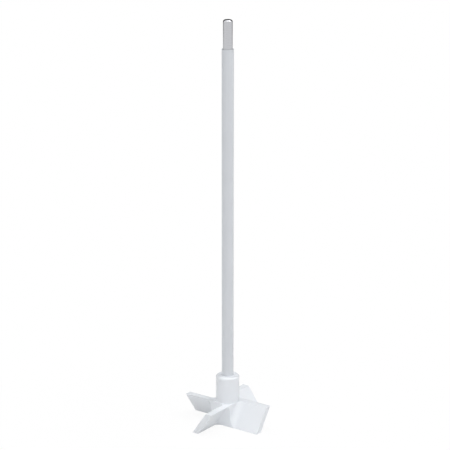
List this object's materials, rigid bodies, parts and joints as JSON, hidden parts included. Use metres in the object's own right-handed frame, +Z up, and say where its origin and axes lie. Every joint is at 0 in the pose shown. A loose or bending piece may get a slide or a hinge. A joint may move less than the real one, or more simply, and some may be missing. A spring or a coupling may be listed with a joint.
{
  "type": "ptfe stirrer shaft",
  "caption": "Laboratory stirrer shaft: a stainless rod in a PTFE sheath, bare at the top for a chuck, with a cross-shaped pitched-blade PTFE impeller and hub closing its lower end.",
  "frame": {"origin": "on the shaft's axis at the underside of the blades", "axes": "+Z up the shaft to the bare steel end, +X out along one blade"},
  "size_m": [0.075, 0.075, 0.35],
  "materials": {
    "stainless_rod": "fine ground, with a rounded and polished end",
    "ptfe_tube": "smooth and waxy, pale grey white",
    "ptfe_block": "fine machined, waxy white"
  },
  "bodies": {
    "root": {"steel_core": "stainless_rod", "ptfe_sheath": "ptfe_tube", "impeller": "ptfe_block"}
  },
  "joints": []
}
